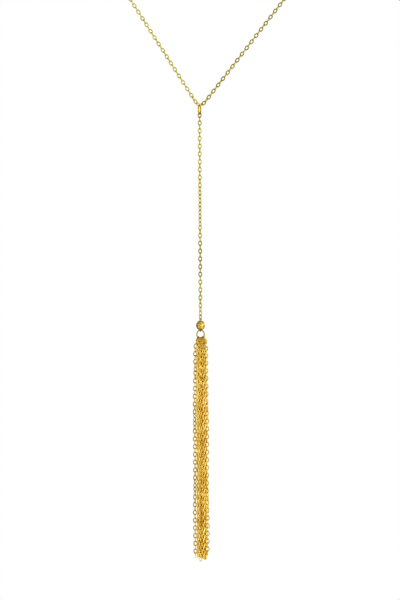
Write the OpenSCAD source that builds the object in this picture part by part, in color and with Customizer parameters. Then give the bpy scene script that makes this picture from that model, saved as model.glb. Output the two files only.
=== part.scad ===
// Y-shaped gold chain necklace: a fine cable chain round the neck whose two ends meet on a small
// ring, a drop chain that hangs from that ring, and below it a cut bead and a tassel of short
// lengths of the same chain.
// All sizes are in millimetres. +X is to the right as seen from the front, +Y points from the
// chest to the nape and +Z is up. The origin is the middle of the neck, level with the nape.

/* [Chain] */
// Outer width of one oval link
link_width = 1.6; // [1.5:0.05:1.8]
// Diameter of the wire that the links are made of
link_wire = 0.27; // [0.22:0.01:0.3]
// Distance from one link to the next along a pulled chain
link_pitch = 1.63; // [1.55:0.01:1.8]
// Thickness of the plain tube that stands for the neck chain between its end links
cable_d = 1.5; // [1.3:0.1:1.6]

/* [Neck] */
// Half the width of the loop at the sides of the neck, to the middle of the chain
neck_half_width = 62; // [58:1:70]
// How far behind the middle of the neck the clasp lies
neck_half_depth = 60; // [56:1:68]
// How far the chain at the sides of the neck lies below the nape
side_fall = 8; // [4:1:14]
// How far the ring where the chains meet hangs below the nape
middle_fall = 94; // [90:1:110]
// How far that ring lies in front of the neck's middle
middle_front = 46; // [42:1:50]
// How far that ring has slipped to the side
middle_slip = 5; // [0:1:8]
// Angle of the left leg of the V from upright
left_lean = 32.2; // [28:0.1:36]
// Angle of the right leg of the V from upright
right_lean = 37.9; // [34:0.1:42]
// Length over which each leg is straight
leg_length = 58; // [50:1:64]

/* [Drop] */
// Number of links in the drop chain, odd so that the last one is square to the bead pin's eye
drop_links = 53; // [41:2:65]
// Outer diameter of the ring where the three chains meet
junction_ring_d = 4.4; // [4:0.1:5]
// Wire of that ring
junction_wire = 0.52; // [0.4:0.02:0.56]
// Outer diameter of the ring that carries the tassel
tassel_ring_d = 4; // [3.8:0.1:4.6]
// Wire of the tassel's ring
tassel_wire = 0.38; // [0.34:0.02:0.4]
// Width of the cut bead
bead_d = 3.8; // [3.6:0.05:4.2]

/* [Tassel] */
// Length from the bottom of the tassel's ring to the longest tip
tassel_length = 93.6; // [70:0.2:110]
// Thickness of one lock of the tassel
lock_d = 1.2; // [1.1:0.05:1.25]

/* [Clasp] */
// Length of the barrel, without its eyes
barrel_length = 6; // [5:0.5:8]
// Diameter of the barrel
barrel_d = 2.2; // [1.8:0.1:3]

/* [Hidden] */

gold = [0.86, 0.66, 0.22];
gold_shade = [0.74, 0.52, 0.14];

// Free space where one piece hangs on the next. Links that are turned come up to 0.05 nearer
gap = 0.15;
link_length = link_pitch + 2 * link_wire + gap;
link_reach = (link_length - link_wire) / 2;
link_sides = 12;
wire_sides = 5;
cable_sides = 8;
round_fn = 48;
wire_fn = 24;

// The ring where the chains meet, turned so that it is seen almost from its edge
middle = [-middle_slip, -middle_front, -middle_fall];
junction_r = (junction_ring_d - junction_wire) / 2;
junction_centre = middle - [0, 0, junction_r];
junction_turn = 76;
// From a ring's wire to the wire of a link that hangs on it
junction_hold = junction_wire / 2 + gap + link_wire / 2;
tassel_hold = tassel_wire / 2 + gap + link_wire / 2;

// The drop chain, from its first link on the ring to its last link on the bead's pin
drop_first = junction_centre + [0, 0, -junction_r + junction_hold - link_reach];
drop_last = drop_first - [0, 0, (drop_links - 1) * link_pitch];

// The bead on its pin, with a round eye above and below. Each eye reaches a little way into a round
// hollow in the bead's end
pin_wire = 0.28;
upper_eye_r = 0.5;
lower_eye_r = 0.46;
bead_height = 3.65;
bead_bore = 0.54;
hollow_r = 0.74;
hollow_out = 0.2;
hollow_fn = 20;
upper_sink = 0.1;
lower_sink = 0.4;
upper_eye = drop_last + [0, 0, -link_reach + link_wire / 2 + gap + pin_wire / 2 - upper_eye_r];
bead_centre = upper_eye - [0, 0, upper_eye_r + pin_wire / 2 - upper_sink + bead_height / 2];
lower_eye = bead_centre - [0, 0, bead_height / 2 - lower_sink + pin_wire / 2 + lower_eye_r];
bead_cuts = 10;
bead_turn = 12;
bead_rows = [-62, -39, -13, 13, 39, 62];

// The tassel ring hangs in the lower eye, turned a little from the front
tassel_ring_r = (tassel_ring_d - tassel_wire) / 2;
tassel_ring_centre = lower_eye
    + [0, 0, -lower_eye_r + pin_wire / 2 + gap + tassel_wire / 2 - tassel_ring_r];
tassel_ring_turn = 30;

// The links on the tassel ring, swung to the front and to the back in turn, and the head just
// below the ring that their far ends run into
hold_angles = [-40, -24, -8, 8, 24, 40];
hold_swing = 35;
head_top = tassel_ring_centre[2] - tassel_ring_d / 2 - gap;
head_height = 2.4;
head_top_r = 2;
head_foot_r = 2.15;
// Each lock's x and y in the bundle, and how far its tip ends above the longest one. The first
// hangs by itself on the left
LOCKS = [
    [-2.60,  0.10, 1.7],
    [-0.35, -2.60, 0.0],
    [ 1.05, -2.60, 1.9],
    [-1.05, -1.30, 2.1],
    [ 0.35, -1.30, 2.0],
    [ 1.75, -1.30, 1.7],
    [-0.35,  0.00, 1.8],
    [ 1.05,  0.00, 2.1],
    [ 2.45,  0.00, 1.1],
    [-1.05,  1.30, 1.6],
    [ 0.35,  1.30, 2.0],
    [ 1.75,  1.30, 1.5],
    [ 1.05,  2.60, 1.9],
];
// Depths below the head's top at which a lock is drawn. A share of its distance from the middle is
// reached in the head, a larger one just below it, and all of it far down
lock_depths = [1.2, 2, 3, 4, 5, 16, 28, 40];
head_share = 0.5;
upper_share = 0.92;
upper_depth = 5;
spread_depth = 40;

// The clasp's two eyes, each sunk a little into the barrel's end, and the neck chain's last link
// in each
clasp_eye_r = 0.62;
clasp_eye_wire = 0.4;
clasp_eye_sink = 0.02;
clasp_eye_x = barrel_length / 2 + clasp_eye_r - clasp_eye_sink;
clasp_centre = [0, neck_half_depth, 0];
last_link_x = clasp_eye_x + clasp_eye_r - clasp_eye_wire / 2 - gap - link_wire / 2 + link_reach;

function unit(v) = v / norm(v);
// 0 before 0, 1 after 1, and an even curve between them
function smooth(t) = let (c = max(0, min(1, t))) c * c * (3 - 2 * c);
function curve_point(p, t) = pow(1 - t, 3) * p[0] + 3 * t * pow(1 - t, 2) * p[1]
    + 3 * t * t * (1 - t) * p[2] + pow(t, 3) * p[3];
function curve(p, steps) = [for (i = [1:steps]) curve_point(p, i / steps)];

// One half of the neck chain, side -1 on the left and 1 on the right. Its first link hangs on the
// ring, its second link turns into the straight leg, then it curves back to the side of the neck
// and round to the nape
ring_angle = 22;
first_turn = -44;
second_turn = 25;
bend_slack = 0.14;
tube_inset = 0.25;
leg_steps = 9;
side_steps = 12;
nape_steps = 17;
// How far the two curves run on past their ends before they bend, and which way the tube's first
// corner points from it
leg_handle = 24;
front_handle = [0, -26, -3];
back_handle = [0, 34, 4];
nape_handle_x = 35;
tube_aside = [0.6, -0.4, 0.8];
function first_lean(side) = side < 0 ? 54 : 68;
function second_lean(side) = side < 0 ? 34 : 47;
function leg_lean(side) = side < 0 ? left_lean : right_lean;
function ring_slack(side) = side < 0 ? 0.05 : 0.1;
function way(side, lean) = [side * sin(lean), 0, cos(lean)];
function ring_point(side) = junction_centre + junction_r
    * [side * sin(ring_angle) * cos(junction_turn), side * sin(ring_angle) * sin(junction_turn),
       cos(ring_angle)];
function first_centre(side) = ring_point(side)
    + (link_reach - junction_hold - ring_slack(side)) * way(side, first_lean(side));
function second_start(side) = first_centre(side) + link_pitch / 2 * way(side, first_lean(side));
function second_centre(side) = second_start(side)
    + (link_pitch / 2 - bend_slack) * way(side, second_lean(side));
function leg_foot(side) = second_centre(side) + link_pitch / 2 * way(side, second_lean(side));
function leg_top(side) = leg_foot(side) + leg_length * way(side, leg_lean(side));
function neck_side(side) = [side * neck_half_width, 0, -side_fall];
function to_side(side) = [leg_top(side), leg_top(side) + leg_handle * way(side, leg_lean(side)),
    neck_side(side) + front_handle, neck_side(side)];
function to_nape(side) = [neck_side(side), neck_side(side) + back_handle,
    [side * nape_handle_x, neck_half_depth, 0], [side * last_link_x, neck_half_depth, 0]];
function leg_points(side) = [for (i = [0:leg_steps])
    leg_foot(side) + i / leg_steps * (leg_top(side) - leg_foot(side))];
function half_route(side) = concat(
    [second_centre(side) + tube_inset * way(side, second_lean(side))], leg_points(side),
    curve(to_side(side), side_steps), curve(to_nape(side), nape_steps));

// A tube of round section swept along open points, as one closed solid
module swept_tube(points, d, sides, aside) {
    last = len(points) - 1;
    ways = [for (i = [0:last]) unit(points[min(i + 1, last)] - points[max(i - 1, 0)])];
    rings = [for (i = [0:last])
        let (u = unit(cross(ways[i], aside)), v = cross(ways[i], u))
            for (k = [0:sides - 1])
                points[i] + d / 2 * (cos(360 * k / sides) * u + sin(360 * k / sides) * v)];
    walls = [for (i = [0:last - 1], k = [0:sides - 1])
        let (n = (k + 1) % sides)
            [i * sides + k, (i + 1) * sides + k, (i + 1) * sides + n, i * sides + n]];
    first_cap = [for (k = [0:sides - 1]) k];
    last_cap = [for (k = [sides - 1:-1:0]) last * sides + k];
    polyhedron(rings, concat(walls, [first_cap, last_cap]));
}

// One oval link of wire, standing in the XZ plane with its long way along Z
module link() {
    half_w = (link_width - link_wire) / 2;
    points = [for (i = [0:link_sides - 1], k = [0:wire_sides - 1])
        let (a = 360 * i / link_sides, b = 360 * k / wire_sides,
             out = unit([cos(a) / half_w, 0, sin(a) / link_reach]))
            [half_w * cos(a), 0, link_reach * sin(a)]
                + link_wire / 2 * (cos(b) * out + sin(b) * [0, 1, 0])];
    faces = [for (i = [0:link_sides - 1], k = [0:wire_sides - 1])
        let (j = (i + 1) % link_sides, n = (k + 1) % wire_sides)
            [i * wire_sides + k, j * wire_sides + k, j * wire_sides + n, i * wire_sides + n]];
    polyhedron(points, faces);
}

// A ring of round wire in the XZ plane
module wire_ring(r, wire) {
    rotate([90, 0, 0])
        rotate_extrude($fn = round_fn)
            translate([r, 0])
                circle(d = wire, $fn = wire_fn);
}

// A loose link on the ring, then one solid: the next link, the tube and the link on the clasp
module neck_half(side) {
    translate(first_centre(side))
        rotate([0, side * first_lean(side), 0])
            rotate([0, 0, first_turn])
                link();
    translate(second_centre(side))
        rotate([0, side * second_lean(side), 0])
            rotate([0, 0, second_turn])
                link();
    swept_tube(half_route(side), cable_d, cable_sides,
               [-side * tube_aside[0], tube_aside[1], tube_aside[2]]);
    translate(clasp_centre + [side * last_link_x, 0, 0])
        rotate([90, 0, 0])
            rotate([0, 90, 0])
                link();
}

module neck_chain_left() {
    color(gold) neck_half(-1);
}

module neck_chain_right() {
    color(gold) neck_half(1);
}

// A plain barrel clasp with an eye at each end
module clasp() {
    color(gold)
        translate(clasp_centre) {
            rotate([0, 90, 0])
                cylinder(h = barrel_length, d = barrel_d, center = true, $fn = round_fn);
            for (side = [-1, 1])
                translate([side * clasp_eye_x, 0, 0])
                    wire_ring(clasp_eye_r, clasp_eye_wire);
        }
}

module junction_ring() {
    color(gold)
        translate(junction_centre)
            rotate([0, 0, junction_turn])
                wire_ring(junction_r, junction_wire);
}

// The chain's links sway a few degrees to and fro as it hangs, turn by a quarter a little below
// its middle, and turn once more near the bead
sway_turn = 6;
sway_step = 8;
quarter_start = 22;
quarter_links = 14;
end_turn = 38;
end_power = 6;
function drop_turn(i) = sway_turn * sin(sway_step * i)
    + 90 * smooth((i - quarter_start) / quarter_links)
    + end_turn * pow(i / (drop_links - 1), end_power);

module drop_chain() {
    color(gold)
        for (i = [0:drop_links - 1])
            translate(drop_first - [0, 0, i * link_pitch])
                rotate([0, 0, 90 * (i % 2) + drop_turn(i)])
                    link();
}

// A round bead with rows of three-cornered cuts, flat at both ends, drilled for its pin and
// hollowed at both ends for the pin's eyes
module bead() {
    high = bead_height / 2 / sin(bead_rows[5]);
    corners = [for (row = [0:5], i = [0:bead_cuts - 1])
        let (a = bead_turn + 360 * (i + (row % 2) / 2) / bead_cuts, la = bead_rows[row])
            [bead_d / 2 * cos(la) * cos(a), bead_d / 2 * cos(la) * sin(a), high * sin(la)]];
    bands = [for (row = [0:4], i = [0:bead_cuts - 1])
        let (n = (i + 1) % bead_cuts, low = row * bead_cuts, top = low + bead_cuts,
             flip = row % 2 == 0)
            each flip
                ? [[low + i, top + i, low + n], [top + i, top + n, low + n]]
                : [[low + i, top + i, top + n], [low + i, top + n, low + n]]];
    foot = [for (i = [0:bead_cuts - 1]) i];
    crown = [for (i = [bead_cuts - 1:-1:0]) 5 * bead_cuts + i];
    color(gold_shade)
        translate(bead_centre)
            difference() {
                polyhedron(corners, concat(bands, [foot, crown]));
                cylinder(h = 2 * bead_height, d = bead_bore, center = true, $fn = round_fn);
                for (end = [-1, 1])
                    translate([0, 0, end * (bead_height / 2 + hollow_out)])
                        sphere(r = hollow_r, $fn = hollow_fn);
            }
}

// The wire through the bead, bent into an eye at each end
module bead_pin() {
    pin_top = upper_eye[2] - upper_eye_r;
    pin_end = lower_eye[2] + lower_eye_r;
    color(gold) {
        translate([middle[0], middle[1], pin_end])
            cylinder(h = pin_top - pin_end, d = pin_wire, $fn = round_fn);
        translate(upper_eye)
            rotate([0, 0, drop_turn(drop_links - 1) + 90])
                wire_ring(upper_eye_r, pin_wire);
        translate(lower_eye)
            rotate([0, 0, tassel_ring_turn + 90])
                wire_ring(lower_eye_r, pin_wire);
    }
}

module tassel_ring() {
    color(gold)
        translate(tassel_ring_centre)
            rotate([0, 0, tassel_ring_turn])
                wire_ring(tassel_ring_r, tassel_wire);
}

// One lock of the tassel at a place in the bundle, gathered towards the head at its top
module lock(row) {
    full = head_top - (tassel_ring_centre[2] - tassel_ring_d / 2 - tassel_length) - row[2];
    points = [for (depth = concat(lock_depths, [full]))
        let (s = head_share + (upper_share - head_share) * smooth(depth / upper_depth)
                 + (1 - upper_share) * smooth(depth / spread_depth))
            [middle[0] + s * row[0], middle[1] + s * row[1], head_top - depth]];
    swept_tube(points, lock_d, cable_sides, [0, 1, 0]);
}

module tassel() {
    color(gold_shade) {
        for (i = [0:len(hold_angles) - 1])
            translate(tassel_ring_centre)
                rotate([0, 0, tassel_ring_turn])
                    rotate([0, -hold_angles[i], 0])
                        translate([0, 0, -tassel_ring_r])
                            rotate([(i % 2 == 0 ? -1 : 1) * hold_swing, 0, 0])
                                translate([0, 0, tassel_hold - link_reach])
                                    rotate([0, 0, 90])
                                        link();
        translate([middle[0], middle[1], head_top - head_height])
            cylinder(h = head_height, r1 = head_foot_r, r2 = head_top_r, $fn = round_fn);
        for (row = LOCKS)
            lock(row);
    }
}

neck_chain_left();
neck_chain_right();
clasp();
junction_ring();
drop_chain();
bead();
bead_pin();
tassel_ring();
tassel();
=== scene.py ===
import math

import bpy
import numpy as np
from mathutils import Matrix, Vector


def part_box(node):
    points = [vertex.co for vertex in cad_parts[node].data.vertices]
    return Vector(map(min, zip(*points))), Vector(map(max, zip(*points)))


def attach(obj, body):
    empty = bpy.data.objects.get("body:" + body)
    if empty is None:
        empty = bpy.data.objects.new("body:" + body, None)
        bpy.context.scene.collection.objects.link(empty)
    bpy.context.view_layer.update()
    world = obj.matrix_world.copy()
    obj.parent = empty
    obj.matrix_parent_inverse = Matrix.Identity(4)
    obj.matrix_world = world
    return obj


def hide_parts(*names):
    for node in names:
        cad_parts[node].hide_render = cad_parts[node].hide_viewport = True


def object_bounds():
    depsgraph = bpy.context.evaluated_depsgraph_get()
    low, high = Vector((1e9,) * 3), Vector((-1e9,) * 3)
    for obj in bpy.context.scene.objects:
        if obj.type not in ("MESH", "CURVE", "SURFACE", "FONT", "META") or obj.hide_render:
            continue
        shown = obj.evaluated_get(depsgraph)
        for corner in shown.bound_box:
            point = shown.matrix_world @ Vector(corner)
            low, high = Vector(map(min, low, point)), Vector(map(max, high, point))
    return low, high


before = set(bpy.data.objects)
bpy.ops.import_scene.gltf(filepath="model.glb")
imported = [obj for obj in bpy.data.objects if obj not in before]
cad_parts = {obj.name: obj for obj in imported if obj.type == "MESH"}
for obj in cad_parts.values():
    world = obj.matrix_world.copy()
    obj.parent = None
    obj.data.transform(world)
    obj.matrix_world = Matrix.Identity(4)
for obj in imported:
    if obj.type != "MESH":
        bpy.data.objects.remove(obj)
cad_low, cad_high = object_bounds()

# Lengths are worked out in millimetres, and meshes are written in metres
MM = 0.001
UP = np.array([0.0, 0.0, 1.0])
FRONT = np.array([0.0, -1.0, 0.0])


def box_mm(node):
    """The lowest and highest corner of a CAD node, in millimetres."""
    low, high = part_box(node)
    return np.array(low) / MM, np.array(high) / MM


# The cable chain's oval link
LINK_WIDTH = 1.6
LINK_WIRE = 0.36
LINK_PITCH = 1.63
LINK_REACH = (LINK_PITCH + LINK_WIRE) / 2
# The solids' links are of thinner wire and nearly as long outside
SOLID_WIRE = 0.27
JOINT_GAP = 0.15
SOLID_REACH = (LINK_PITCH + SOLID_WIRE + JOINT_GAP) / 2
LINK_SIDES = 12
WIRE_SIDES = 5


def unit(v):
    """Vectors of length one, along the last axis."""
    return v / np.linalg.norm(v, axis=-1, keepdims=True)


def across(towards, along):
    """The part of one set of vectors that is square to another, as unit vectors."""
    along = unit(along)
    return unit(towards - np.sum(towards * along, axis=-1, keepdims=True) * along)


def link_grid(centres, along, normals):
    """Oval links, one for each centre. A link's middle line is an ellipse that goes round in the
    plane square to its normal, half the width less half the wire to the side and LINK_REACH along
    its length, and a circle of half the wire goes round that line. Shape (links, sides, wire, 3)."""
    along = unit(along)
    normals = across(normals, along)
    aside = np.cross(normals, along)
    half_width = (LINK_WIDTH - LINK_WIRE) / 2
    turn = 2 * np.pi * np.arange(LINK_SIDES) / LINK_SIDES
    roll = 2 * np.pi * np.arange(WIRE_SIDES) / WIRE_SIDES
    cos_t = np.cos(turn)[None, :, None]
    sin_t = np.sin(turn)[None, :, None]
    line = (centres[:, None] + half_width * cos_t * aside[:, None]
            + LINK_REACH * sin_t * along[:, None])
    out = unit(cos_t / half_width * aside[:, None] + sin_t / LINK_REACH * along[:, None])
    cos_r = np.cos(roll)[None, None, :, None]
    sin_r = np.sin(roll)[None, None, :, None]
    return line[:, :, None] + LINK_WIRE / 2 * (
        cos_r * out[:, :, None] + sin_r * normals[:, None, None])


def ring_faces(count, rows, columns):
    """Four-sided faces of a number of closed rings, each a grid of rows by columns that closes
    both ways, facing outwards."""
    i, j = np.meshgrid(np.arange(rows), np.arange(columns), indexing="ij")
    i_next = (i + 1) % rows
    j_next = (j + 1) % columns
    one = np.stack([i * columns + j, i * columns + j_next, i_next * columns + j_next,
                    i_next * columns + j], axis=-1).reshape(-1, 4)
    return (one[None] + (np.arange(count) * rows * columns)[:, None, None]).reshape(-1, 4)


def mesh_piece(name, points, faces):
    """A smooth mesh object at the origin, from points in millimetres and four-sided faces."""
    mesh = bpy.data.meshes.new(name)
    points = np.asarray(points, dtype=np.float64).reshape(-1, 3) * MM
    faces = np.asarray(faces, dtype=np.int32)
    mesh.vertices.add(len(points))
    mesh.vertices.foreach_set("co", points.ravel())
    mesh.loops.add(faces.size)
    mesh.loops.foreach_set("vertex_index", faces.ravel())
    mesh.polygons.add(len(faces))
    mesh.polygons.foreach_set("loop_start", np.arange(0, faces.size, 4, dtype=np.int32))
    mesh.polygons.foreach_set("use_smooth", np.full(len(faces), True))
    mesh.update(calc_edges=True)
    mesh.validate()
    piece = bpy.data.objects.new(name, mesh)
    bpy.context.scene.collection.objects.link(piece)
    return piece


def chain_piece(name, links, painted_shades):
    """One piece of all the links in a list of link grids, with how far painted shade darkens each
    link.
    """
    grid = np.concatenate(links)
    piece = mesh_piece(name, grid, ring_faces(len(grid), LINK_SIDES, WIRE_SIDES))
    # The attribute "tone" holds how far painted shade darkens each link
    tone = piece.data.attributes.new("tone", "FLOAT", "POINT")
    tone.data.foreach_set("value", np.repeat(painted_shades, LINK_SIDES * WIRE_SIDES))
    return piece


def along_route(points, distances):
    """The places at given distances along a route of points."""
    steps = np.linalg.norm(np.diff(points, axis=0), axis=1)
    length = np.concatenate([[0.0], np.cumsum(steps)])
    return np.stack([np.interp(distances, length, points[:, k]) for k in range(3)], axis=1)


def route_length(points):
    """The whole length of a route of points."""
    return float(np.linalg.norm(np.diff(points, axis=0), axis=1).sum())


def turned(reference, along, degrees):
    """Vectors square to along, at an angle about it from the reference."""
    along = unit(along)
    first = across(reference, along)
    second = np.cross(along, first)
    angle = np.radians(degrees)[:, None]
    return np.cos(angle) * first + np.sin(angle) * second


# The neck chain
JUNCTION_WIRE = 0.52
ring_low, ring_high = box_mm("junction_ring")
junction_centre = (ring_low + ring_high) / 2
junction_r = (ring_high[2] - ring_low[2] - JUNCTION_WIRE) / 2
JUNCTION_TURN = 76.0
# How far the middle line of a link's end reaches past that of the ring's wire
JUNCTION_HOLD = JUNCTION_WIRE / 2 + JOINT_GAP + SOLID_WIRE / 2

NECK_HALF_WIDTH = 62.0
NECK_HALF_DEPTH = 60.0
SIDE_FALL = 8.0
LEG_LENGTH = 58.0
RING_ANGLE = 22.0
FIRST_TURN = -44.0
SECOND_TURN = 25.0
# Where the inner corner points of the curves lie: past the top of the leg, before and behind the
# side of the neck, and how far to the side the one at the nape lies
LEG_HANDLE = 24.0
FRONT_HANDLE = (0.0, -26.0, -3.0)
BACK_HANDLE = (0.0, 34.0, 4.0)
NAPE_HANDLE_X = 35.0
CURVE_STEPS = 160
CLASP_EYE_WIRE = 0.4
# The links nearest the ring are pulled tight over this many links
TIGHT_LINKS = 8
# Past the leg, the links come to face outwards from the neck over this length
OUTWARD_LENGTH = 30.0
# The links sway about the chain by this much, with this length for each radian
LEG_SWAY = 3.0
LEG_SWAY_LENGTH = 9.0
# The second link's turn goes over to the leg's over this length, and the leg's turn is gone this
# far before the clasp
SECOND_TURN_LENGTH = 8.0
CLASP_CALM_LENGTH = 8.0
# What differs between the left side, -1, and the right side, 1
FIRST_LEAN = {-1: 54.0, 1: 68.0}
SECOND_LEAN = {-1: 34.0, 1: 47.0}
LEG_LEAN = {-1: 32.2, 1: 37.9}
RING_SLACK = {-1: 0.0, 1: 0.1}
BEND_SLACK = {-1: 0.0, 1: 0.14}
TIGHTENED = {-1: 0.15, 1: 0.0}
LEG_TURN = {-1: 2.0, 1: 12.0}
LEG_PITCH = {-1: 1.59, 1: 1.625}
# Painted shade and reflection: how far the links that face the front and those between them
# are darkened, more on the right side than on the left
SIDE_PAINTED_SHADES = {-1: (0.25, 0.0), 1: (1.0, 0.15)}
# How far to the side the middle of the link on the clasp's eye lies
LAST_LINK_X = (box_mm("clasp")[1][0] - CLASP_EYE_WIRE - JOINT_GAP - SOLID_WIRE / 2
               + SOLID_REACH)


def way(side, lean):
    """The direction that leans from upright towards a side, in the plane of the front."""
    lean = math.radians(lean)
    return np.array([side * math.sin(lean), 0.0, math.cos(lean)])


def bezier(corners):
    """A cubic curve from the first to the last of four corner points, without its start: the sum of
    the corners, each times its share."""
    t = np.linspace(0.0, 1.0, CURVE_STEPS + 1)[1:, None]
    a, b, c, d = [np.asarray(p, dtype=float) for p in corners]
    return (1 - t) ** 3 * a + 3 * t * (1 - t) ** 2 * b + 3 * t * t * (1 - t) * c + t ** 3 * d


def smooth(t):
    """0 before 0, 1 after 1, and an even curve between them."""
    t = np.clip(t, 0.0, 1.0)
    return t * t * (3 - 2 * t)


def neck_links(side):
    """The links of one half of the neck chain. The first hangs on the ring, and the rest follow
    the route of the second link, the straight leg, the curve to the side of the neck and the curve
    round to the clasp at nearly even distances. Each is turned a quarter from the one before."""
    across_ring = math.radians(JUNCTION_TURN)
    ring_angle = math.radians(RING_ANGLE)
    on_ring = junction_centre + junction_r * np.array([
        side * math.sin(ring_angle) * math.cos(across_ring),
        side * math.sin(ring_angle) * math.sin(across_ring), math.cos(ring_angle)])
    first_way = way(side, FIRST_LEAN[side])
    second_way = way(side, SECOND_LEAN[side])
    leg_way = way(side, LEG_LEAN[side])
    first = on_ring + (SOLID_REACH - JUNCTION_HOLD - RING_SLACK[side]) * first_way
    second = first + LINK_PITCH / 2 * first_way + (LINK_PITCH / 2 - BEND_SLACK[side]) * second_way
    leg_foot = second + LINK_PITCH / 2 * second_way
    leg_top = leg_foot + LEG_LENGTH * leg_way
    neck_side = np.array([side * NECK_HALF_WIDTH, 0.0, -SIDE_FALL])
    last = np.array([side * LAST_LINK_X, NECK_HALF_DEPTH, 0.0])
    route = np.concatenate([
        [second - LINK_PITCH * second_way, second, leg_foot, leg_top],
        bezier([leg_top, leg_top + LEG_HANDLE * leg_way, neck_side + FRONT_HANDLE, neck_side]),
        bezier([neck_side, neck_side + BACK_HANDLE,
                [side * NAPE_HANDLE_X, NECK_HALF_DEPTH, 0], last]),
        [last - [side * LINK_PITCH, 0, 0]]])
    length = route_length(route) - 2 * LINK_PITCH
    steps = 2 * round((length / LEG_PITCH[side] - 1) / 2) + 1
    pitch = length / steps
    number = np.arange(steps + 1)
    distance = LINK_PITCH + number * pitch
    tight = smooth(number / TIGHT_LINKS) * (1 - smooth((distance - LEG_LENGTH) / LEG_LENGTH))
    distance = distance + TIGHTENED[side] * tight
    before = along_route(route, distance - pitch / 2)
    after = along_route(route, distance + pitch / 2)
    centres = (before + after) / 2
    along = after - before
    # Links face the front on the leg and outwards from the neck behind it
    outwards = unit(centres * [1 / NECK_HALF_WIDTH ** 2, 1 / NECK_HALF_DEPTH ** 2, 0])
    share = smooth((distance - LEG_LENGTH) / OUTWARD_LENGTH)[:, None]
    reference = (1 - share) * FRONT + share * outwards
    slow = LEG_TURN[side] + LEG_SWAY * np.sin(distance / LEG_SWAY_LENGTH + side)
    turn = SECOND_TURN + (slow - SECOND_TURN) * smooth(distance / SECOND_TURN_LENGTH)
    behind = (distance - LEG_LENGTH) / (length - LEG_LENGTH - CLASP_CALM_LENGTH)
    turn = turn * (1 - smooth(behind))
    rest = link_grid(centres, along, turned(reference, along, 90 * (number % 2) + turn))
    first_normal = turned(FRONT[None], first_way[None], np.array([FIRST_TURN]))
    return [link_grid(first[None], first_way[None], first_normal), rest]


# The drop chain
drop_low, drop_high = box_mm("drop_chain")
DROP_LINKS = 53
DROP_SWAY = 6.0
# How far the sway moves on from one link to the next, in degrees
SWAY_STEP = 8
# How far the end of the drop turns, and the power of the share of the way down that it grows by
DROP_END_TURN = 38.0
DROP_END_POWER = 12
# The drop turns by a quarter between these links, with a slower stretch halfway
QUARTER_LINKS = [15, 20, 28, 31]
QUARTER_TURNS = [0, 40, 55, 90]
# Painted shade and reflection on the drop: how far the links that face the front are darkened,
# at these link numbers and evenly between them, and the share of it on a link that is seen
# from its edge
PAINTED_SHADE_LINKS = [0, 4, 30, 34, 41, 43, 47, 49]
DROP_PAINTED_SHADES = [1.0, 0.25, 0.3, 1.0, 1.0, 0.4, 0.7, 0.2]
DROP_EDGE_SHADE_SHARE = 0.5


def drop_links():
    """The links of the drop chain, straight down at even distances, each turned a quarter from the
    one before, with a slow sway about the upright, a quarter turn above the middle and a turn that
    grows towards the bead. With them comes how far painted shade darkens each link."""
    number = np.arange(DROP_LINKS)
    x, y = (drop_low[:2] + drop_high[:2]) / 2
    top = drop_high[2] - SOLID_REACH - SOLID_WIRE / 2
    centres = np.stack([np.full(DROP_LINKS, x), np.full(DROP_LINKS, y),
                        top - number * LINK_PITCH], axis=1)
    turn = DROP_SWAY * np.sin(np.radians(SWAY_STEP * number))
    turn = turn + np.interp(number, QUARTER_LINKS, QUARTER_TURNS)
    turn = turn + DROP_END_TURN * (number / (DROP_LINKS - 1)) ** DROP_END_POWER
    turn = turn + 90 * (number % 2)
    down = np.broadcast_to(-UP, centres.shape)
    # Painted reflection: links that face the front are darkened more than those seen from their edge
    facing = np.cos(np.radians(turn)) ** 2
    painted_shades = np.interp(number, PAINTED_SHADE_LINKS, DROP_PAINTED_SHADES)
    painted_shades = painted_shades * (DROP_EDGE_SHADE_SHARE + (1 - DROP_EDGE_SHADE_SHARE) * facing)
    return [link_grid(centres, down, turned(FRONT, down, -turn))], painted_shades


# The tassel's strands
tassel_low, tassel_high = box_mm("tassel")
tassel_ring_low, tassel_ring_high = box_mm("tassel_ring")
tassel_ring_centre = (tassel_ring_low + tassel_ring_high) / 2
TASSEL_WIRE = 0.38
tassel_ring_r = (tassel_ring_high[2] - tassel_ring_low[2] - TASSEL_WIRE) / 2
TASSEL_HOLD = TASSEL_WIRE / 2 + JOINT_GAP + SOLID_WIRE / 2
TASSEL_RING_TURN = 30.0
# Each strand has a link on the ring's lower part. These lie between two angles from the ring's
# lowest point, fan out by a share of the angle, and swing to the front, to the back and down in
# turn
HOLD_ANGLES = (-44.0, 50.0)
HOLD_FAN = 0.45
HOLD_SWINGS = (-38.0, 30.0, -6.0)
# Most strands fill a rectangle of this middle and half size. One hangs by itself on the left, and
# one stands out on the right
STRAND_COUNT = 26
BUNDLE_MIDDLE = (0.25, 0.0)
BUNDLE_HALF = (1.75, 2.2)
LEFT_STRAND = (-2.66, 0.10)
RIGHT_STRAND = (2.55, -0.60)
# The tips lie this far above the lowest one, which is this far to the side of the middle
LONGEST_X = -0.5
TIP_RISE = 1.78
RIGHT_TIP_RISE = 1.0
SIDE_TIP_RISES = [1.78, 2.75]
TIP_VARIATION = 0.4
# The tips rise by less from this far to the right of the middle, over this width
RIGHT_START = 0.2
RIGHT_WIDTH = 1.4
# A strand spreads to its place by this share over the upper depth, and by the rest over the other
UPPER_SHARE = 0.69
UPPER_DEPTH = 3.4
SPREAD_DEPTH = 40.0
# A strand's wave to the side and to the front: its size, the depths for one radian, and how much
# further on it starts from one strand to the next
STRAND_WAVE = 0.07
WAVE_LENGTHS = (6.5, 8.0)
WAVE_STEPS = (2.4, 1.7)
ROUTE_POINTS = 400
# Strands turn about themselves as they hang. The left and the right one turn by quarters and rest
# at these depths between them, where a sway of this size makes them nearly still
REST_DEPTHS = [[5.0, 19.7, 47.4, 76.9], [9.2, 46.6, 84.8]]
REST_SWAY = 14.0
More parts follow.
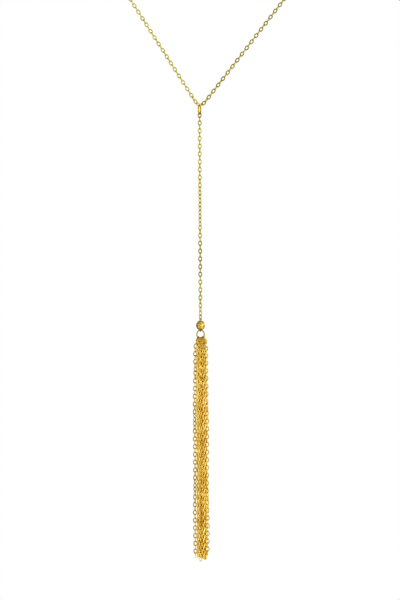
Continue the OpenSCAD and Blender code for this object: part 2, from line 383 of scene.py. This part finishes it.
# The others turn at rates up to this many degrees a millimetre, and sway: by how much, the depth
# for one radian, and how much further on the sway starts from one strand to the next
TWIST_RATE = 3.4
TWIST_SWAY = 18.0
TWIST_LENGTH = 9.0
TWIST_STEP = 1.3
# Over this many links a strand goes over from the turn of the link that holds it to its own
TURN_LINKS = 6
# By what share of the pitch the links lie closer together: on the left and the right strand, and
# at most on the others
SIDE_SLACK = 0.0027
SLACKEST = 0.014
# The first links of a strand are bunched below the ring, and take up the length of one to two more.
# On the left and the right strand they only make up for a part of a link
BUNCHED_LINKS = 7
BUNCHED_MORE = 1.0
SIDE_BUNCHED = -0.1
GOLDEN = (math.sqrt(5) - 1) / 2
# What is spread evenly over the strands starts at a different place for each use
DEPTH_START = 0.2
TIP_START = 0.5
RATE_START = 0.3
SLACK_START = 0.4

# Painted shade on the tassel: the links are darkened most on the ring, where they crowd
# together, and on the two strands at the sides, where it goes from the first value on a link
# seen from its edge to the second on a link that faces the front
TOP_PAINTED_SHADE = 0.42
TOP_SHADE_DEPTH = 5.0
SIDE_STRAND_PAINTED_SHADES = [(0.05, 0.85), (0.0, 0.7)]


def spun(v, axis, degrees):
    """A vector turned about an axis."""
    angle = math.radians(degrees)
    axis = unit(np.asarray(axis, dtype=float))
    return (v * math.cos(angle) + np.cross(axis, v) * math.sin(angle)
            + axis * np.dot(axis, v) * (1 - math.cos(angle)))


def hold_links():
    """The middles, directions and normals of the links on the tassel ring. Each one hangs from the
    middle line of the ring's wire at its angle, swung about that line."""
    tangent = spun(np.array([1.0, 0.0, 0.0]), UP, TASSEL_RING_TURN)
    face = spun(np.array([0.0, 1.0, 0.0]), UP, TASSEL_RING_TURN)
    middles, ways, normals = [], [], []
    for number, angle in enumerate(np.linspace(*HOLD_ANGLES, STRAND_COUNT)):
        on_wire = tassel_ring_centre + tassel_ring_r * spun(-UP, face, -angle)
        fan = HOLD_FAN * angle
        along_wire = spun(tangent, face, -fan)
        hang = spun(spun(-UP, face, -fan), along_wire, HOLD_SWINGS[number % len(HOLD_SWINGS)])
        middles.append(on_wire + (SOLID_REACH - TASSEL_HOLD) * hang)
        ways.append(hang)
        normals.append(along_wire)
    return np.array(middles), np.array(ways), np.array(normals)


def share_of(number, offset=0.0):
    """A value between 0 and 1 that is spread evenly over the numbers: the part behind the point of
    the number times the golden section plus an offset."""
    return (number * GOLDEN + offset) % 1


def bundle_places():
    """Where the strands hang: the left one, the right one, and the rest spread evenly over a
    rectangle, one step each from side to side and a golden section of its depth on from the one
    before."""
    n = np.arange(STRAND_COUNT - 2)
    from_side = 2 * (n + 0.5) / len(n) - 1
    from_front = 2 * share_of(n, DEPTH_START) - 1
    block = np.stack([BUNDLE_MIDDLE[0] + BUNDLE_HALF[0] * from_side,
                      BUNDLE_MIDDLE[1] + BUNDLE_HALF[1] * from_front], axis=1)
    return np.concatenate([[LEFT_STRAND, RIGHT_STRAND], block])


def tip_rises(places):
    """How far each strand's tip lies above the lowest one: less on the right than elsewhere, with
    a small difference from strand to strand, most for the strand at the right side, and nothing
    for the longest strand."""
    to_right = smooth((places[:, 0] - RIGHT_START) / RIGHT_WIDTH)
    rises = TIP_RISE + (RIGHT_TIP_RISE - TIP_RISE) * to_right
    rises = rises + TIP_VARIATION * (share_of(np.arange(len(places)), TIP_START) - 0.5)
    rises[np.argmin(np.abs(places[:, 0] - LONGEST_X))] = 0.0
    rises[:len(SIDE_TIP_RISES)] = SIDE_TIP_RISES
    return rises


def strand_turn(number, depth):
    """How far a strand has turned about itself at each depth, in degrees. The left and the right
    one turn by quarters with a rest after each, up to the third, the others at their own rate with
    a sway."""
    if number < len(REST_DEPTHS):
        rests = REST_DEPTHS[number]
        quarters = np.interp(depth, rests, np.arange(4 - len(rests), 4))
        return 90 * quarters - REST_SWAY * np.sin(2 * np.pi * quarters)
    rate = TWIST_RATE * (2 * share_of(number, RATE_START) - 1)
    sway = TWIST_SWAY * np.sin(depth / TWIST_LENGTH + TWIST_STEP * number)
    return 90 * share_of(number) + rate * depth + sway


def strand_links(number, place, tip, start, wire_way):
    """One strand of the tassel: from its start on a link of the ring it spreads to its place in the
    bundle, then hangs with a very small wave. Below its bunched first links the links lie at even
    distances, each turned a quarter from the one before, with a slow turn of the whole strand."""
    depth = np.linspace(0.0, start[2] - tassel_low[2] - tip, ROUTE_POINTS)
    spread = UPPER_SHARE * smooth(depth / UPPER_DEPTH)
    spread = spread + (1 - UPPER_SHARE) * smooth(depth / SPREAD_DEPTH)
    wave = STRAND_WAVE * spread
    goal = tassel_ring_centre[:2] + place
    level = [start[k] + (goal[k] - start[k]) * spread
             + wave * np.sin(depth / WAVE_LENGTHS[k] + WAVE_STEPS[k] * number) for k in range(2)]
    route = np.stack([*level, start[2] - depth], axis=1)
    length = route_length(route) - (LINK_REACH - LINK_PITCH / 2 + LINK_WIRE / 2)
    at_side = number < len(REST_DEPTHS)
    slack = SIDE_SLACK if at_side else SLACKEST * share_of(number, SLACK_START)
    pitch = LINK_PITCH * (1 - slack)
    count = math.ceil(length / pitch + (SIDE_BUNCHED if at_side else BUNCHED_MORE))
    i = np.arange(count)
    steps = pitch - (count * pitch - length) / BUNCHED_LINKS * (i < BUNCHED_LINKS)
    joints = along_route(route, np.concatenate([[0.0], np.cumsum(steps)]))
    centres = (joints[1:] + joints[:-1]) / 2
    along = joints[1:] - joints[:-1]
    first_turn = math.degrees(math.atan2(wire_way[0], -wire_way[1]))
    own = strand_turn(number, start[2] - centres[:, 2])
    if at_side:
        own = own + 90 * (count - 1)
    else:
        own = own + 90 * np.round((first_turn - own[0]) / 90)
        own = first_turn + (own - first_turn) * smooth(i / TURN_LINKS)
    turn = np.radians(90 * i + own)
    normals = np.stack([np.sin(turn), -np.cos(turn), np.zeros(count)], axis=1)
    # Painted shade: the side strands are darkened, most where a link faces the front, and near the
    # ring every link goes over to the ring's painted shade
    edge_shade, face_shade = SIDE_STRAND_PAINTED_SHADES[number] if at_side else (0.0, 0.0)
    painted_shades = edge_shade + (face_shade - edge_shade) * np.cos(turn) ** 2
    below = smooth((start[2] - centres[:, 2]) / TOP_SHADE_DEPTH)
    return link_grid(centres, along, normals), TOP_PAINTED_SHADE + (painted_shades - TOP_PAINTED_SHADE) * below


def tassel_links():
    """The links on the ring and the strands that hang from them, one from each. The strands that
    hang farthest out choose first, each the free link that is nearest its place. With them comes
    how far painted shade darkens each link."""
    middles, ways, normals = hold_links()
    links = [link_grid(middles, ways, normals)]
    painted_shades = [np.full(STRAND_COUNT, TOP_PAINTED_SHADE)]
    places = bundle_places()
    rises = tip_rises(places)
    wire_ways = np.cross(normals, ways)
    ends = middles + LINK_PITCH / 2 * ways
    free = list(range(STRAND_COUNT))
    for number in np.argsort(-np.abs(places[:, 0] - BUNDLE_MIDDLE[0])):
        goal = tassel_ring_centre[:2] + places[number]
        held = min(free, key=lambda k: np.linalg.norm(ends[k, :2] - goal))
        free.remove(held)
        strand, strand_painted_shades = strand_links(int(number), places[number], rises[number], ends[held],
                                            wire_ways[held])
        links.append(strand)
        painted_shades.append(strand_painted_shades)
    return links, np.concatenate(painted_shades)


# Materials
# The noise of the tone and that of the polish have their whole effect between these values
NOISE_LOW = 0.3
NOISE_HIGH = 0.7
# Sizes are in patches a metre, and the relief's height is in metres
POLISH_SCALE = 1300.0
RELIEF_HEIGHT = 0.00003


def gold_material(name, bright, deep, rough, rough_range, bump, grain, patches=420.0,
                  painted_shade_colour=None):
    """Polished gold plate. Soft noise mixes patches of a brighter and a deeper tone, a finer one
    varies the polish, and fine grain makes a slight relief. Where a painted shade colour is given,
    both tones go over to it as the attribute "tone" rises to 1, which paints shade on the links."""
    material = bpy.data.materials.new(name)
    material.use_nodes = True
    nodes = material.node_tree.nodes
    links = material.node_tree.links
    nodes.clear()
    output = nodes.new("ShaderNodeOutputMaterial")
    shader = nodes.new("ShaderNodeBsdfPrincipled")
    place = nodes.new("ShaderNodeTexCoord")
    shader.inputs["Metallic"].default_value = 1.0

    tone = nodes.new("ShaderNodeTexNoise")
    tone.inputs["Scale"].default_value = patches
    tone.inputs["Detail"].default_value = 3.0
    ramp = nodes.new("ShaderNodeValToRGB")
    ramp.color_ramp.elements[0].position = NOISE_LOW
    ramp.color_ramp.elements[0].color = (*deep, 1.0)
    ramp.color_ramp.elements[1].position = NOISE_HIGH
    ramp.color_ramp.elements[1].color = (*bright, 1.0)

    polish = nodes.new("ShaderNodeTexNoise")
    polish.inputs["Scale"].default_value = POLISH_SCALE
    polish.inputs["Detail"].default_value = 2.0
    spread = nodes.new("ShaderNodeMapRange")
    spread.inputs["From Min"].default_value = NOISE_LOW
    spread.inputs["From Max"].default_value = NOISE_HIGH
    spread.inputs["To Min"].default_value = rough - rough_range
    spread.inputs["To Max"].default_value = rough + rough_range

    fine = nodes.new("ShaderNodeTexNoise")
    fine.inputs["Scale"].default_value = grain
    fine.inputs["Detail"].default_value = 2.0
    relief = nodes.new("ShaderNodeBump")
    relief.inputs["Strength"].default_value = bump
    relief.inputs["Distance"].default_value = RELIEF_HEIGHT

    for texture in (tone, polish, fine):
        links.new(place.outputs["Object"], texture.inputs["Vector"])
    links.new(tone.outputs["Fac"], ramp.inputs["Fac"])
    if painted_shade_colour is None:
        links.new(ramp.outputs["Color"], shader.inputs["Base Color"])
    else:
        # Painted shade: the attribute "tone" takes the gold over to a darker colour
        depth = nodes.new("ShaderNodeAttribute")
        depth.attribute_name = "tone"
        mix = nodes.new("ShaderNodeMix")
        mix.data_type = "RGBA"
        mix.inputs["B"].default_value = (*painted_shade_colour, 1.0)
        links.new(depth.outputs["Fac"], mix.inputs["Factor"])
        links.new(ramp.outputs["Color"], mix.inputs["A"])
        links.new(mix.outputs["Result"], shader.inputs["Base Color"])
    links.new(polish.outputs["Fac"], spread.inputs["Value"])
    links.new(spread.outputs["Result"], shader.inputs["Roughness"])
    links.new(fine.outputs["Fac"], relief.inputs["Height"])
    links.new(relief.outputs["Normal"], shader.inputs["Normal"])
    links.new(shader.outputs["BSDF"], output.inputs["Surface"])
    return material


# The chains, rings and tassel are of one gold. These copies of it are lighter or darker as painted
# light and shade: the tassel's gold lighter and more orange for the light that goes round between
# its strands, the gold of the chains and rings darker for their dark reflections, and the tassel's
# ring darker still.
shaded_chain_gold = gold_material(
    "polished gold of the chains", bright=(0.81, 0.72, 0.23), deep=(0.69, 0.60, 0.15),
    painted_shade_colour=(0.43, 0.36, 0.09), rough=0.14, rough_range=0.05, bump=0.08, grain=5200.0)
shaded_ring_gold = gold_material(
    "polished gold of the rings", bright=(0.74, 0.57, 0.16), deep=(0.62, 0.46, 0.10),
    rough=0.18, rough_range=0.05, bump=0.06, grain=4200.0)
shaded_hanger_gold = gold_material(
    "gold of the tassel's ring", bright=(0.49, 0.42, 0.14), deep=(0.40, 0.34, 0.10),
    rough=0.2, rough_range=0.05, bump=0.06, grain=4200.0)
# Painted reflection: the bead's small patches of strong contrast stand in for the bright and dark
# reflections of its cut facets
bead_gold_painted_reflections = gold_material(
    "cut gold of the bead", bright=(0.97, 0.83, 0.38), deep=(0.38, 0.27, 0.05),
    rough=0.10, rough_range=0.06, bump=0.3, grain=3600.0, patches=1100.0)
lit_tassel_gold = gold_material(
    "gold of the tassel", bright=(0.96, 0.87, 0.49), deep=(0.86, 0.71, 0.28),
    painted_shade_colour=(0.60, 0.43, 0.11), rough=0.07, rough_range=0.04, bump=0.08, grain=5200.0, patches=300.0)


def wear(piece, material):
    """Gives a piece or a CAD node one material."""
    piece.data.materials.clear()
    piece.data.materials.append(material)


# The pieces
for name, side in (("neck_links_left", -1), ("neck_links_right", 1)):
    first, rest = neck_links(side)
    piece = chain_piece(name, [first, rest], np.resize(SIDE_PAINTED_SHADES[side][::-1], 1 + len(rest)))
    wear(piece, shaded_chain_gold)
    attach(piece, "root")
    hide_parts("neck_chain_left" if side < 0 else "neck_chain_right")

drop = chain_piece("drop_links", *drop_links())
wear(drop, shaded_chain_gold)
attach(drop, "root")
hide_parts("drop_chain")

strands = chain_piece("tassel_strands", *tassel_links())
wear(strands, lit_tassel_gold)
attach(strands, "root")
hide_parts("tassel")

for name in ("junction_ring", "bead_pin", "clasp"):
    wear(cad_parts[name], shaded_ring_gold)
wear(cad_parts["tassel_ring"], shaded_hanger_gold)
wear(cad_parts["bead"], bead_gold_painted_reflections)


# Floor, light and camera
scene = bpy.context.scene
scene.view_settings.view_transform = "Standard"
scene.view_settings.gamma = 0.5
LIGHT_BOUNCES = 16
scene.cycles.max_bounces = LIGHT_BOUNCES
scene.cycles.glossy_bounces = LIGHT_BOUNCES

# The floor's height, radius, the radius of its bend and the top of its wall, in millimetres
FLOOR_Z = -1250.0
FLOOR_R = 3600.0
FLOOR_BEND = 900.0
WALL_TOP = 3000.0
# The radii of the flat part's first two rings, how many rings it and the bend have, and how many
# sides each ring has
FLAT_MIDDLE = 1.0
FLAT_START = 600.0
FLAT_RINGS = 4
BEND_RINGS = 13
FLOOR_SIDES = 64


def glow_material(name, colour, strength):
    """An even pale surface that takes no shadow."""
    material = bpy.data.materials.new(name)
    material.use_nodes = True
    nodes = material.node_tree.nodes
    nodes.clear()
    output = nodes.new("ShaderNodeOutputMaterial")
    glow = nodes.new("ShaderNodeEmission")
    glow.inputs["Color"].default_value = (*colour, 1.0)
    glow.inputs["Strength"].default_value = strength
    material.node_tree.links.new(glow.outputs["Emission"], output.inputs["Surface"])
    return material


def studio_floor():
    """A round pale floor whose rim curves up into a wall: a profile of radius and height turned
    about the upright through the middle of the neck."""
    arc = np.linspace(0.0, np.pi / 2, BEND_RINGS)
    flat_r = FLOOR_R - FLOOR_BEND
    radius = np.concatenate([[FLAT_MIDDLE], np.linspace(FLAT_START, flat_r, FLAT_RINGS)[:-1],
                             flat_r + FLOOR_BEND * np.sin(arc), [FLOOR_R]])
    height = np.concatenate([np.full(FLAT_RINGS, FLOOR_Z),
                             FLOOR_Z + FLOOR_BEND * (1 - np.cos(arc)), [WALL_TOP]])
    turn = np.linspace(0.0, 2 * np.pi, FLOOR_SIDES, endpoint=False)
    grid = np.stack([radius[:, None] * np.cos(turn), radius[:, None] * np.sin(turn),
                     np.broadcast_to(height[:, None], (len(radius), len(turn)))], axis=-1)
    i, j = np.meshgrid(np.arange(len(radius) - 1), np.arange(len(turn)), indexing="ij")
    j_next = (j + 1) % len(turn)
    inner = i * FLOOR_SIDES
    outer = (i + 1) * FLOOR_SIDES
    faces = np.stack([inner + j, outer + j, outer + j_next, inner + j_next], axis=-1)
    floor = mesh_piece("studio_floor", grid, faces.reshape(-1, 4))
    wear(floor, glow_material("pale floor", (1.0, 1.0, 1.0), 1.0))
    floor.visible_diffuse = False
    floor.visible_glossy = False
    floor.visible_shadow = False


studio_floor()

# The studio round the necklace is brightest in front and below
SKY_BRIGHT_WAY = (0.35, -0.85, -0.40)
SKY_DARK = 0.6
SKY_BRIGHT = 1.28
world = bpy.data.worlds.new("studio")
scene.world = world
world.use_nodes = True
background = world.node_tree.nodes["Background"]
sky_place = world.node_tree.nodes.new("ShaderNodeTexCoord")
sky_way = world.node_tree.nodes.new("ShaderNodeVectorMath")
sky_way.operation = "DOT_PRODUCT"
sky_way.inputs[1].default_value = SKY_BRIGHT_WAY
sky_ramp = world.node_tree.nodes.new("ShaderNodeMapRange")
sky_ramp.inputs["From Min"].default_value = -1.0
sky_ramp.inputs["From Max"].default_value = 1.0
sky_ramp.inputs["To Min"].default_value = SKY_DARK
sky_ramp.inputs["To Max"].default_value = SKY_BRIGHT
world.node_tree.links.new(sky_place.outputs["Generated"], sky_way.inputs[0])
world.node_tree.links.new(sky_way.outputs["Value"], sky_ramp.inputs["Value"])
world.node_tree.links.new(sky_ramp.outputs["Result"], background.inputs["Strength"])
background.inputs["Color"].default_value = (1.0, 1.0, 1.0, 1.0)

# The lights are aimed at the middle of the drop and tassel
look_at = np.array([junction_centre[0], junction_centre[1],
                    (cad_low[2] / MM + junction_centre[2]) / 2])


def softbox(name, direction, distance, size, power):
    """A square area light at a distance from the necklace, aimed at it."""
    light = bpy.data.lights.new(name, "AREA")
    light.shape = "SQUARE"
    light.size = size
    light.energy = power
    lamp = bpy.data.objects.new(name, light)
    scene.collection.objects.link(lamp)
    way_to = Vector(unit(np.array(direction, dtype=float)))
    lamp.location = Vector(look_at * MM) + way_to * distance
    lamp.rotation_euler = (-way_to).to_track_quat("-Z", "Y").to_euler()
    lamp.visible_camera = False


# Each light's direction from the necklace, its distance and size in metres and its power in watts
softbox("front left", (-1.0, -1.1, 0.35), 1.5, 1.1, 1.6)
softbox("front right", (1.1, -0.9, 0.2), 1.5, 0.9, 1.0)
softbox("above", (0.1, -0.3, 1.0), 1.5, 1.2, 1.6)
softbox("back left", (-0.9, 1.0, 0.3), 1.6, 0.9, 1.0)
softbox("back right", (0.9, 1.1, 0.4), 1.6, 0.9, 1.0)

# One pixel of the picture shows this many millimetres at the necklace's front
PIXEL_MM = 0.42
PICTURE_HEIGHT = 600
LENS_MM = 170.0
# The drop leans a little in the photograph, so the camera is turned about its line of sight
CAMERA_ROLL = 0.26
SENSOR_MM = 36.0
# Where the middle of the picture lies at the necklace's front, and how many metres the camera sees
VIEW_X = -5.18
VIEW_Z = -175.94
VIEW_END = 30
distance = LENS_MM / SENSOR_MM * PICTURE_HEIGHT * PIXEL_MM
camera_data = bpy.data.cameras.new("camera")
camera_data.lens = LENS_MM
camera_data.sensor_width = SENSOR_MM
camera_data.clip_end = VIEW_END
camera = bpy.data.objects.new("camera", camera_data)
scene.collection.objects.link(camera)
camera.location = (VIEW_X * MM, (junction_centre[1] - distance) * MM, VIEW_Z * MM)
camera.rotation_euler = (math.radians(90), math.radians(CAMERA_ROLL), 0)
scene.camera = camera
